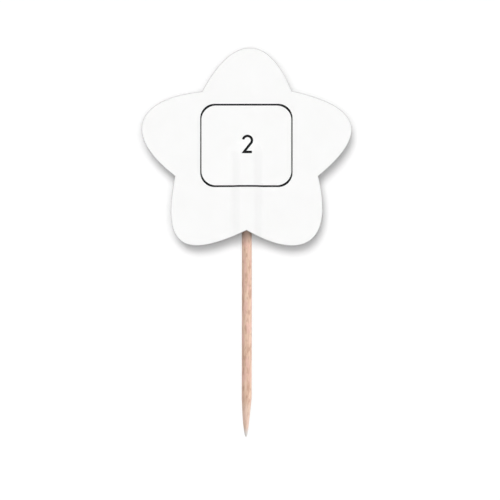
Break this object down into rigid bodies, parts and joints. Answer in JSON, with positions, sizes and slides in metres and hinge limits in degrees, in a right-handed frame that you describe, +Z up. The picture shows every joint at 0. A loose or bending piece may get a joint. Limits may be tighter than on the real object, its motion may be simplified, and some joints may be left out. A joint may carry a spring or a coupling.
{
  "type": "cupcake pick",
  "caption": "Flat five-petal star of white card on a pointed round wooden stick, pushed upright into a cupcake as its decoration or label.",
  "frame": {"origin": "the sharpened point of the wooden stick, on the stick's axis", "axes": "+Z up along the stick towards the card, -Y out of the printed front of the card, +X to the right as seen from the front"},
  "size_m": [0.048, 0.0032, 0.0889],
  "materials": {
    "white_card": "uncoated, very smooth matt white",
    "dried_adhesive": "dried clear-to-cream paper adhesive",
    "pale_wood": "bare pale pinkish birch, turned, with fine streaks along the grain",
    "printed_ink": "thin flat near-black print"
  },
  "bodies": {
    "root": {"front_card": "white_card", "back_card": "white_card", "adhesive_film": "dried_adhesive", "wooden_stick": "pale_wood"}
  },
  "joints": []
}
